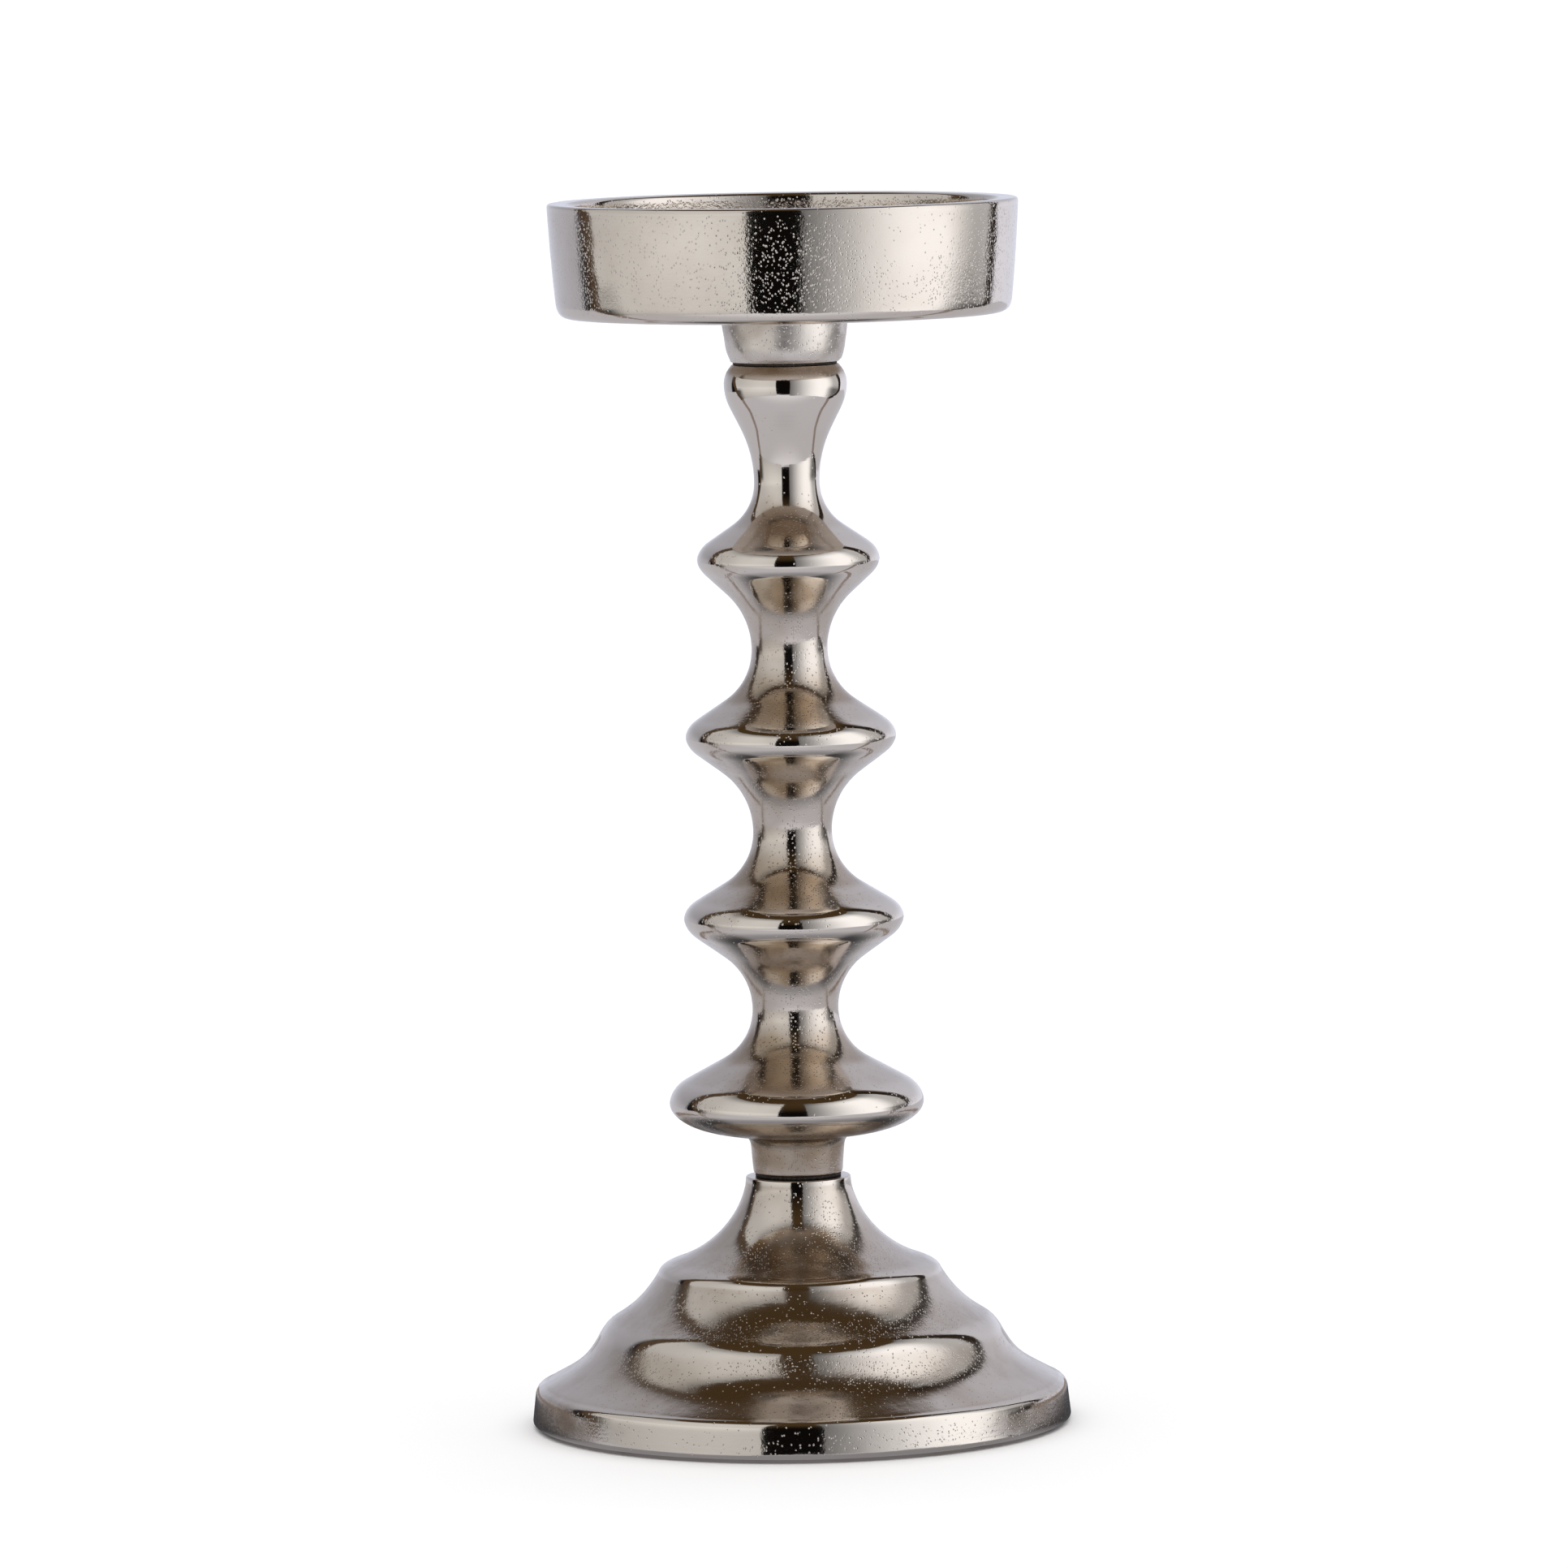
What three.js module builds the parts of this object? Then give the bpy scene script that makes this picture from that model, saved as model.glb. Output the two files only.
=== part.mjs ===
// A pillar candle holder: a shallow round cup on a beaded stem and a stepped bell base. The three are
// castings, held together by two threaded studs, with a nut under the base.
// Millimetres, +Z up. The origin is on the table, under the middle of the base.
// Each round piece is an outline of (radius, height) points, spun about the Z axis.
import * as THREE from "three";

// ---- Driving dimensions ----

const padThickness = 1; // felt under the foot ring
const padRadius = 3;
const padCircleRadius = 58;
const padCount = 4;

const seatHeight = 43; // flat under the base that the clamping washer bears on
const collarTop = 61; // top of the base
const lowerJointGap = 0.9; // soft washer between base and stem
const stemFoot = collarTop + lowerJointGap;
const stemTop = 259.7;
const upperJointGap = 0.6; // soft washer between stem and cup
const cupFoot = stemTop + upperJointGap;
const cupUnderside = 271.8;
const cupFloor = 276.5;
const rimTop = 299.5;

const studRadius = 4; // M8 thread
const tappedRadius = 4.3;
const clearanceRadius = 4.5;
const tappedDepth = 17.5;
const studEndGap = 1.5; // between a stud's end and the bottom of its hole
const cupStudDepth = 12; // how far the cup's stud reaches into the cup
const cupScrewTravel = 12.5; // thread that holds the cup on the stem: ten turns of 1.25 mm

const plateThickness = 2; // plain washer
const plateRadius = 12;
const springThickness = 2; // spring washer
const springRadius = 7.4;
const springSlit = 0.28; // radians left open in the spring washer
const nutHeight = 6.5;
const nutAcrossFlats = 13;
const studBelowNut = 3;

// The stem's beads (widest rings) and necks (narrowest), from the bottom up. "below" and "above" are the
// radii of the round edge of a bead, or of the hollow of a neck, on its lower and its upper side.
const stemProfile = [
  { bead: true, r: 31.2, z: 79.3, above: 7.3, ridge: 1.15 },
  { bead: false, r: 10.45, z: 102.2, below: 14, above: 15.8 },
  { bead: true, r: 27, z: 124.5, below: 6.7, above: 6, ridge: 1.15 },
  { bead: false, r: 9.6, z: 145.8, below: 15, above: 18.1 },
  { bead: true, r: 25.8, z: 169, below: 6.3, above: 6.1, ridge: 1.15 },
  { bead: false, r: 9.25, z: 190.3, below: 15.1, above: 18.4 },
  { bead: true, r: 22.4, z: 212.2, below: 6.3, above: 6.5, ridge: 1.15 },
  { bead: false, r: 7.95, z: 231, below: 12.5, above: 29.6 },
  { bead: true, r: 15, z: 255.1, below: 13, above: 6, ridge: 0 },
];

const baseSides = 48;
const cupSides = 48;
const stemSides = 32;
const smallSides = 24;
const studSides = 16;
const curveSteps = 4; // straight pieces in each curve of a casting's outline
const bendSteps = 2; // straight pieces in each half of a stem arc

// ---- Materials ----

const finishes = {
  nickel: new THREE.MeshStandardMaterial({ color: 0xc8c0b8, roughness: 0.22, metalness: 1 }),
  steel: new THREE.MeshStandardMaterial({ color: 0xb4b6b8, roughness: 0.35, metalness: 1 }),
  rubber: new THREE.MeshStandardMaterial({ color: 0x2b211b, roughness: 0.8, metalness: 0 }),
  felt: new THREE.MeshStandardMaterial({ color: 0x3c3a38, roughness: 1, metalness: 0 }),
};

// ---- Shared builders ----

// Spins an outline about the Z axis. The outline runs up the outside of the piece and back down its middle.
function spun(outline, sides) {
  return new THREE.LatheGeometry(outline, sides).rotateX(Math.PI / 2);
}

// A flat ring: a plain washer, or with no hole a disc.
function ring(outer, inner, bottom, top, sides) {
  const outline = [
    [inner, bottom],
    [outer, bottom],
    [outer, top],
    [inner, top],
  ].map(([r, z]) => new THREE.Vector2(r, z));
  if (inner > 0) outline.push(outline[0].clone());
  return spun(outline, sides);
}

function piece(name, geometry, material) {
  const mesh = new THREE.Mesh(geometry, material);
  mesh.name = name;
  return mesh;
}

// ---- Base ----

// A hollow bell of three falling coves, each ending in a rounded nose over a steeper wall, on a flat foot ring.
function baseOutline() {
  const foot = padThickness;
  const outside = new THREE.Path();
  outside.moveTo(54.5, foot);
  outside.lineTo(64.8, foot);
  outside.quadraticCurveTo(65.9, foot, 65.95, foot + 1.4); // bottom edge of the rim
  outside.lineTo(65.5, 7.85);
  outside.quadraticCurveTo(65.15, 9.85, 63.75, 10.05); // rim's shoulder
  outside.bezierCurveTo(56.3, 14.3, 53.2, 15.05, 49.3, 22.55); // lowest cove
  outside.quadraticCurveTo(47.8, 25.25, 45.8, 26.4); // middle nose
  outside.bezierCurveTo(40.9, 29.3, 37.7, 32.5, 34.6, 37.6);
  outside.quadraticCurveTo(34.3, 39.1, 30.9, 40.25); // top nose
  outside.bezierCurveTo(22.65, 42.95, 15.15, 49.35, 12.95, 58.75);
  outside.lineTo(12.8, collarTop - 0.4);
  outside.lineTo(12.4, collarTop);
  const points = outside.getPoints(curveSteps);
  points.push(new THREE.Vector2(clearanceRadius, collarTop));
  points.push(new THREE.Vector2(clearanceRadius, seatHeight));

  const inside = new THREE.Path();
  inside.moveTo(16, seatHeight);
  inside.bezierCurveTo(26, 41.5, 34, 34, 41.5, 25.5);
  inside.bezierCurveTo(46, 20, 51, 14, 53.8, 6);
  points.push(...inside.getPoints(curveSteps));
  points.push(points[0].clone());
  return points;
}

// ---- Stem ----

// Centre of a bead's round edge on its upper (1) or lower (-1) side, and where that arc starts. The two
// centres lie past each other by the bead's ridge, so the arcs meet at its widest point in a soft ridge.
function edgeArc(bead, side) {
  const edge = side > 0 ? bead.above : bead.below;
  const start = Math.asin(bead.ridge / edge);
  return { r: bead.r - edge * Math.cos(start), z: bead.z - side * bead.ridge, edge, start };
}

// Angle from upright of the straight flank that touches both a neck's hollow arc and a bead's round edge.
function flankAngle(neck, hollow, arc) {
  const across = arc.r - (neck.r + hollow);
  const up = Math.abs(arc.z - neck.z);
  return Math.atan2(across, up) + Math.asin((hollow + arc.edge) / Math.hypot(across, up));
}

// Adds the outline between two stations of the stem, going up: arc, straight flank, arc.
function addFlank(path, from, to) {
  const [bead, neck] = from.bead ? [from, to] : [to, from];
  const arc = edgeArc(bead, from.bead ? 1 : -1);
  const hollow = from.bead ? neck.below : neck.above;
  const angle = flankAngle(neck, hollow, arc);
  if (from.bead) {
    path.absarc(arc.r, arc.z, arc.edge, arc.start, angle, false);
    path.absarc(neck.r + hollow, neck.z, hollow, Math.PI + angle, Math.PI, true);
  } else {
    path.absarc(neck.r + hollow, neck.z, hollow, Math.PI, Math.PI - angle, true);
    path.absarc(arc.r, arc.z, arc.edge, -angle, -arc.start, false);
  }
}

// A turned column of four beads and four necks with a bulb on top, tapped at both ends.
function stemOutline() {
  const lowest = stemProfile[0];
  const bulb = stemProfile[stemProfile.length - 1];
  const path = new THREE.Path();
  path.moveTo(0, stemFoot + tappedDepth);
  path.lineTo(tappedRadius, stemFoot + tappedDepth);
  path.lineTo(tappedRadius, stemFoot);
  path.lineTo(10.5, stemFoot);
  path.lineTo(10.95, stemFoot + 0.6);
  path.lineTo(11.45, 69);
  path.quadraticCurveTo(11.6, 71, 14, 71.4); // where the foot meets the lowest bead
  path.quadraticCurveTo(23.6, 72.3, 27.6, 74.7);
  path.quadraticCurveTo(lowest.r, 76.8, lowest.r, lowest.z);
  for (let i = 1; i < stemProfile.length; i++) addFlank(path, stemProfile[i - 1], stemProfile[i]);
  const bulbEnd = Math.asin((stemTop - 0.3 - bulb.z) / bulb.above);
  path.absarc(bulb.r - bulb.above, bulb.z, bulb.above, 0, bulbEnd, false);
  path.lineTo(12.8, stemTop);
  path.lineTo(tappedRadius, stemTop);
  path.lineTo(tappedRadius, stemTop - tappedDepth);
  path.lineTo(0, stemTop - tappedDepth);
  return path.getPoints(bendSteps);
}

// ---- Cup ----

// A dish with a thick, slightly flared wall and a rounded lip, on a tapered boss that is tapped from below.
function cupOutline() {
  const path = new THREE.Path();
  path.moveTo(0, cupFoot + cupStudDepth + studEndGap);
  path.lineTo(tappedRadius, cupFoot + cupStudDepth + studEndGap);
  path.lineTo(tappedRadius, cupFoot);
  path.lineTo(12.9, cupFoot);
  path.lineTo(13.3, cupFoot + 0.3);
  path.quadraticCurveTo(14.4, 262.6, 14.6, 264.6);
  path.lineTo(15.3, 269.6);
  path.quadraticCurveTo(15.5, cupUnderside, 17.5, cupUnderside);
  path.lineTo(52.4, cupUnderside);
  path.quadraticCurveTo(55.1, cupUnderside, 55.45, 275.2); // bottom corner of the wall
  path.quadraticCurveTo(56.6, 286, 57.25, 297.2);
  path.quadraticCurveTo(57.2, rimTop, 55.2, rimTop); // lip
  path.quadraticCurveTo(52.2, rimTop, 52, 297.4);
  path.lineTo(51.3, cupFloor + 3);
  path.quadraticCurveTo(51.2, cupFloor, 48.2, cupFloor);
  path.lineTo(0, cupFloor);
  return path.getPoints(curveSteps);
}

// ---- Fasteners and pads ----

function stud(bottom, top) {
  return ring(studRadius, 0, bottom, top, studSides);
}

// A flat ring cut through at one side.
function springWasher(top) {
  const shape = new THREE.Shape();
  shape.absarc(0, 0, springRadius, springSlit, 2 * Math.PI - springSlit, false);
  shape.absarc(0, 0, tappedRadius, 2 * Math.PI - springSlit, springSlit, true);
  const settings = { depth: springThickness, bevelEnabled: false, curveSegments: studSides };
  return new THREE.ExtrudeGeometry(shape, settings).translate(0, 0, top - springThickness);
}

function hexNut(top) {
  const corner = nutAcrossFlats / 2 / Math.cos(Math.PI / 6);
  const shape = new THREE.Shape();
  for (let i = 0; i < 6; i++) {
    const turn = (i * Math.PI) / 3;
    const at = [corner * Math.cos(turn), corner * Math.sin(turn)];
    if (i === 0) shape.moveTo(...at);
    else shape.lineTo(...at);
  }
  shape.closePath();
  const hole = new THREE.Path().absarc(0, 0, tappedRadius, 0, 2 * Math.PI, true);
  shape.holes.push(hole);
  const settings = { depth: nutHeight, bevelEnabled: false, curveSegments: studSides / 2 };
  return new THREE.ExtrudeGeometry(shape, settings).translate(0, 0, top - nutHeight);
}

function feltPad(index) {
  const turn = ((index + 0.5) * 2 * Math.PI) / padCount;
  const pad = ring(padRadius, 0, 0, padThickness, smallSides);
  return pad.translate(padCircleRadius * Math.cos(turn), padCircleRadius * Math.sin(turn), 0);
}

// ---- Assembly ----

const { nickel, steel, rubber, felt } = finishes;
const springTop = seatHeight - plateThickness;
const nutTop = springTop - springThickness;
const baseStudBottom = nutTop - nutHeight - studBelowNut;
const baseStudTop = stemFoot + tappedDepth - studEndGap;
const cupStudBottom = stemTop - cupScrewTravel;
const jointWasherRadius = 10.5; // soft washer under the stem
const cupWasherRadius = 12.7; // soft washer under the cup

const holder = new THREE.Group();
holder.add(
  piece("stepped_base", spun(baseOutline(), baseSides), nickel),
  piece("beaded_stem", spun(stemOutline(), stemSides), nickel),
  piece("candle_cup", spun(cupOutline(), cupSides), nickel),
  piece("cup_stud", stud(cupStudBottom, cupFoot + cupStudDepth), steel),
  piece("cup_washer", ring(cupWasherRadius, clearanceRadius, stemTop, cupFoot, smallSides), rubber),
  piece("stem_washer", ring(jointWasherRadius, clearanceRadius, collarTop, stemFoot, smallSides), rubber),
  piece("base_stud", stud(baseStudBottom, baseStudTop), steel),
  piece("plate_washer", ring(plateRadius, clearanceRadius, springTop, seatHeight, smallSides), steel),
  piece("spring_washer", springWasher(springTop), steel),
  piece("hex_nut", hexNut(nutTop), steel),
);
for (let i = 0; i < padCount; i++) holder.add(piece(`felt_pad_${i + 1}`, feltPad(i), felt));

export default holder;
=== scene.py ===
import math

import bpy
import numpy as np
from mathutils import Euler, Matrix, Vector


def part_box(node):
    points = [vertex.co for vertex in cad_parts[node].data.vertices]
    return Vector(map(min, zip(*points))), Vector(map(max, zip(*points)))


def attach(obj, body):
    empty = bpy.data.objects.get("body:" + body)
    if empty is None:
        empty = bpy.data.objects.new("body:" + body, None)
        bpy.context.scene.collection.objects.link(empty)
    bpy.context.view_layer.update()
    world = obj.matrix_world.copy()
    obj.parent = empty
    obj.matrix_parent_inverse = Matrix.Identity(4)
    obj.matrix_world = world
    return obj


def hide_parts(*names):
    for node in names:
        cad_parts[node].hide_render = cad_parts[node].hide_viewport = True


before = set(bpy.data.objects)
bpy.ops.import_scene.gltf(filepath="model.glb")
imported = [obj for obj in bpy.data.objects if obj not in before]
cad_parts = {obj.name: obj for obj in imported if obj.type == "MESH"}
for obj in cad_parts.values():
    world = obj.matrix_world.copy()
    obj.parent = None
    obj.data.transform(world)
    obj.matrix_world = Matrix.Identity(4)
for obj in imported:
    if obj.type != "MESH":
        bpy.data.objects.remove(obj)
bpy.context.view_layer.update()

mm = 0.001  # outlines are worked out in millimetres, meshes are in metres


def linear(hexColour):
    # sRGB hex to linear: each channel / 255, then ((c + 0.055) / 1.055) ^ 2.4, or c / 12.92 near black
    channels = [int(hexColour[i:i + 2], 16) / 255 for i in (1, 3, 5)]
    return [c / 12.92 if c <= 0.04045 else ((c + 0.055) / 1.055) ** 2.4 for c in channels] + [1.0]


def perSize(sizeMm):
    return 1 / (sizeMm * mm)  # a texture's scale whose cells are that many millimetres wide


def addNode(tree, kind, settings={}, links={}):
    # settings go to sockets when the key is a socket's name or number, else to the node itself
    node = tree.nodes.new("ShaderNode" + kind)
    for key, value in settings.items():
        if isinstance(key, int) or key in node.inputs:
            node.inputs[key].default_value = value
        else:
            setattr(node, key, value)
    for key, source in links.items():
        tree.links.new(source, node.inputs[key])
    return node


def newMaterial(name):
    # a material with no nodes yet, and its tree
    material = bpy.data.materials.new(name)
    material.use_nodes = True
    tree = material.node_tree
    tree.nodes.clear()
    return material, tree


def bezier(*corners, count=60):
    # each pair of neighbouring corners is mixed (1 - t) to t, layer after layer, until one point is left
    t = np.linspace(0, 1, count)[:, None]
    layer = [np.array(c, float) for c in corners]
    while len(layer) > 1:
        layer = [(1 - t) * a + t * b for a, b in zip(layer, layer[1:])]
    return layer[0]


def arc(centre, radius, start, end, count=60):
    # centre + radius * (cos a, sin a) for a from start to end
    a = np.linspace(start, end, count)
    return np.stack([centre[0] + radius * np.cos(a), centre[1] + radius * np.sin(a)], 1)


def evenly(curve, step):
    # the curve again at equal steps of its own length
    length = np.concatenate([[0], np.cumsum(np.hypot(*np.diff(curve, axis=0).T))])
    at = np.linspace(0, length[-1], max(2, round(length[-1] / step) + 1))
    return np.stack([np.interp(at, length, curve[:, 0]), np.interp(at, length, curve[:, 1])], 1)


def softened(curve, reach):
    # polished metal has no sudden bends: each point becomes the bell-weighted mean of its neighbours
    # within three times reach, and the ends stay where they are
    step = 0.1
    fine = evenly(curve, step)
    half = int(3 * reach / step)
    bell = np.exp(-0.5 * (np.arange(-half, half + 1) * step / reach) ** 2)
    bell /= bell.sum()
    ahead = 2 * fine[0] - fine[half:0:-1]
    behind = 2 * fine[-1] - fine[-2:-half - 2:-1]
    padded = np.concatenate([ahead, fine, behind])
    return np.stack([np.convolve(padded[:, k], bell, "valid") for k in (0, 1)], 1)


latticeSize = 48  # cells each way before the casting noise repeats


def castNoise(points, cell, seed):
    # smooth random numbers from -1 to 1: one for each corner of a lattice with cells of that many
    # millimetres, eased between the eight corners round a point
    lattice = np.random.default_rng(seed).uniform(-1, 1, (latticeSize,) * 3)
    scaled = points / cell
    corner = np.floor(scaled).astype(int)
    share = scaled - corner
    share = share * share * (3 - 2 * share)
    total = np.zeros(len(points))
    for i in range(8):
        step = np.array([i & 1, i >> 1 & 1, i >> 2 & 1])
        weight = np.where(step, share, 1 - share).prod(axis=1)
        x, y, z = ((corner + step) % latticeSize).T
        total += weight * lattice[x, y, z]
    return total


def ramp(values, low, high):
    # from 0 at low to 1 at high, eased at both ends: t * t * (3 - 2 * t)
    t = np.clip((values - low) / (high - low), 0, 1)
    return t * t * (3 - 2 * t)


def addPiece(name, points, faces, material, body, replaced, marks={}):
    # points in millimetres become a smooth mesh in metres that stands for a CAD node
    mesh = bpy.data.meshes.new(name)
    mesh.from_pydata((points * mm).tolist(), [], faces)
    mesh.validate()
    mesh.shade_smooth()
    mesh.materials.append(material)
    for mark, values in marks.items():
        attribute = mesh.attributes.new(mark, "FLOAT", "POINT")
        attribute.data.foreach_set("value", values.astype(np.float32))
    piece = bpy.data.objects.new(name, mesh)
    bpy.context.scene.collection.objects.link(piece)
    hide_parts(*replaced)
    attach(piece, body)
    return piece


def gridFaces(rings, sides, closed):
    # four corners for each cell of a grid that closes round its axis, and along its outline if closed
    i, j = np.meshgrid(np.arange(rings if closed else rings - 1), np.arange(sides), indexing="ij")
    up, on = (i + 1) % rings, (j + 1) % sides
    cells = [i * sides + j, i * sides + on, up * sides + on, up * sides + j]
    return np.stack(cells, -1).reshape(-1, 4).tolist()


def spin(stretches, sides, closed=False):
    # An outline is a list of stretches (curve, step, cast), each laid out at its own even step, where cast
    # says how much of a casting's relief it gets. Spun round the axis, a point (r, z) becomes
    # (r cos a, r sin a, z). An open outline starts and ends on the axis.
    rows, cast = [], []
    for curve, step, share in stretches:
        even = evenly(np.asarray(curve, float), step)
        even = even[1:] if rows else even
        rows.append(even)
        cast.append(np.full(len(even), float(share)))
    rows, cast = np.concatenate(rows), np.concatenate(cast)
    if closed:
        rows, cast = rows[:-1], cast[:-1]
        tangent = np.roll(rows, -1, 0) - np.roll(rows, 1, 0)
    else:
        tangent = np.gradient(rows, axis=0)
    tangent /= np.hypot(*tangent.T)[:, None]
    outward = np.stack([tangent[:, 1], -tangent[:, 0]], 1)
    turn = np.arange(sides) * 2 * math.pi / sides + math.pi / 2
    return {"rows": rows, "cast": cast, "outward": outward, "turn": turn, "closed": closed}


def castSurface(spun, relief):
    # Moves every point of a spun outline along its outward normal by the relief, a function of the
    # points that gives millimetres. Returns points, faces with poles where the outline meets the axis, and
    # which of the outline's points were kept beside the poles.
    rows, outward, turn = spun["rows"], spun["outward"], spun["turn"]
    sides = len(turn)

    def spread(radius, height):
        # one (r, z) for each ring, carried all the way round
        across = radius[:, None]
        x, y = across * np.cos(turn), across * np.sin(turn)
        return np.stack([x.ravel(), y.ravel(), np.repeat(height, sides)], 1)

    points = spread(rows[:, 0], rows[:, 1])
    lift = relief(points) * np.repeat(spun["cast"], sides)
    points = points + spread(outward[:, 0], outward[:, 1]) * lift[:, None]
    if spun["closed"]:
        return points, gridFaces(len(rows), sides, True), None
    inner = points[sides:-sides]
    faces = gridFaces(len(rows) - 2, sides, False)
    first, last, top = len(inner), len(inner) + 1, len(inner) - sides
    faces += [[first, (j + 1) % sides, j] for j in range(sides)]
    faces += [[top + j, top + (j + 1) % sides, last] for j in range(sides)]
    poles = np.array([[0, 0, rows[0, 1]], [0, 0, rows[-1, 1]]])
    return np.concatenate([inner, poles]), faces, slice(sides, -sides)


def bendOf(spun, reach):
    # how much the outline bends outwards, in radians per millimetre, averaged over reach millimetres to
    # both sides: a wheel reaches and polishes what bulges, and leaves hollows as they were cast
    rows = spun["rows"]
    length = np.concatenate([[0], np.cumsum(np.hypot(*np.diff(rows, axis=0).T))])
    tangent = np.gradient(rows, axis=0)
    heading = np.unwrap(np.arctan2(tangent[:, 1], tangent[:, 0]))
    ahead = np.interp(length + reach, length, heading)
    behind = np.interp(length - reach, length, heading)
    return (ahead - behind) / (2 * reach)


# the edges of patches are ragged by noise of two sizes: cell in mm, strength, seed
patchEdges = ((5, 0.35, 91), (1.8, 0.25, 92))


def castMarks(spun, kept, pitted, satin, brown, patches):
    # How pitted, how satin and how brown the casting is, from 0 to 1: brown is partly oxide and partly a
    # painted reflection of the brown that the metal mirrors. Each starts as one value for each ring of the
    # outline. Then patches where the wheel skipped or dwelt pull them towards their own values, and some
    # patches paint that brown reflection, or shade, into the colour through their brown or satin. A patch is
    # (degrees round from the front, height in mm, reach in degrees, reach in mm, pitted, satin), with brown
    # after them where that changes too. Its pull falls off as exp(-distance ^ 4), with a ragged edge. Brown
    # below 0 makes up for the brown that satin brings with it.
    sides = len(spun["turn"])
    heights = np.repeat(spun["rows"][:, 1], sides)
    radii = np.repeat(spun["rows"][:, 0], sides)
    turn = np.tile(spun["turn"], len(spun["rows"]))
    places = np.stack([radii * np.cos(turn), radii * np.sin(turn), heights], 1)
    around = (np.degrees(turn) + 90 + 180) % 360 - 180
    ragged = np.ones(len(places))
    for cell, strength, seed in patchEdges:
        ragged += strength * castNoise(places, cell, seed)
    marks = {"pitted": pitted, "satin": satin, "brown": brown}
    marks = {mark: np.repeat(values, sides) for mark, values in marks.items()}
    for angle, height, reachAround, reachUp, *values in patches:
        aside = (around - angle + 180) % 360 - 180
        far = ((aside / reachAround) ** 2 + ((heights - height) / reachUp) ** 2) * ragged
        pull = np.exp(-far ** 2)
        for mark, value in zip(marks, values):
            marks[mark] = marks[mark] + (value - marks[mark]) * pull
    if kept is not None:
        marks = {mark: np.concatenate([every[kept], [0.5, 0.5]]) for mark, every in marks.items()}
    return marks


def hollowToCrest(style, bend):
    # how pitted and how satin each ring is: the first value of its pair, less the second on crests
    crest = ramp(bend, *style["crest"])
    return [style[mark][0] - style[mark][1] * crest for mark in ("pitted", "satin")]


# Nickel over sand-cast aluminium, tumbled and buffed: a warm mirror where the wheel reached, satin and a
# little browner with oxide in hollows, and with open pits of the casting that glint white in its dark
# reflections.
# Brown is also painted where the metal mirrors brown or shade: a painted reflection in hollows that face up
# and on the fronts of the discs' shoulders, and painted shade at the ends of the base's rim.
# Each mesh says where, in its attributes "pitted", "satin" and "brown".
nickelLook = {
    "bright": "#dcd2c6",
    "dull": "#86683f",  # thin oxide that stays in hollows, and also the colour of the painted brown reflection and shade
    "oxideShare": 0.95,
    "smoothRoughness": 0.06,
    "satinRoughness": 0.4,
    "pitMm": 0.54,
    "pitTall": 0.7,  # below 1 they are taller than wide
    "pitShare": 0.74,  # of the cells, where the casting is fully pitted
    "pitDepthMm": 0.065,
    "pitDeeper": 2.4,  # times as deep where it is brownest, since no wheel wore the pits down there; that brown is partly painted reflection
    "pitWarpMm": 0.16,
    "pitGlint": 0.95,
    "grainMm": 0.7,
    "grainDepthMm": 0.035,
    "rippleMm": 2.6,
    "rippleDepthMm": 0.075,
    "buffMm": 0.5,
    "buffDepthMm": 0.006,
    "cloudMm": 14,
}


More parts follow.
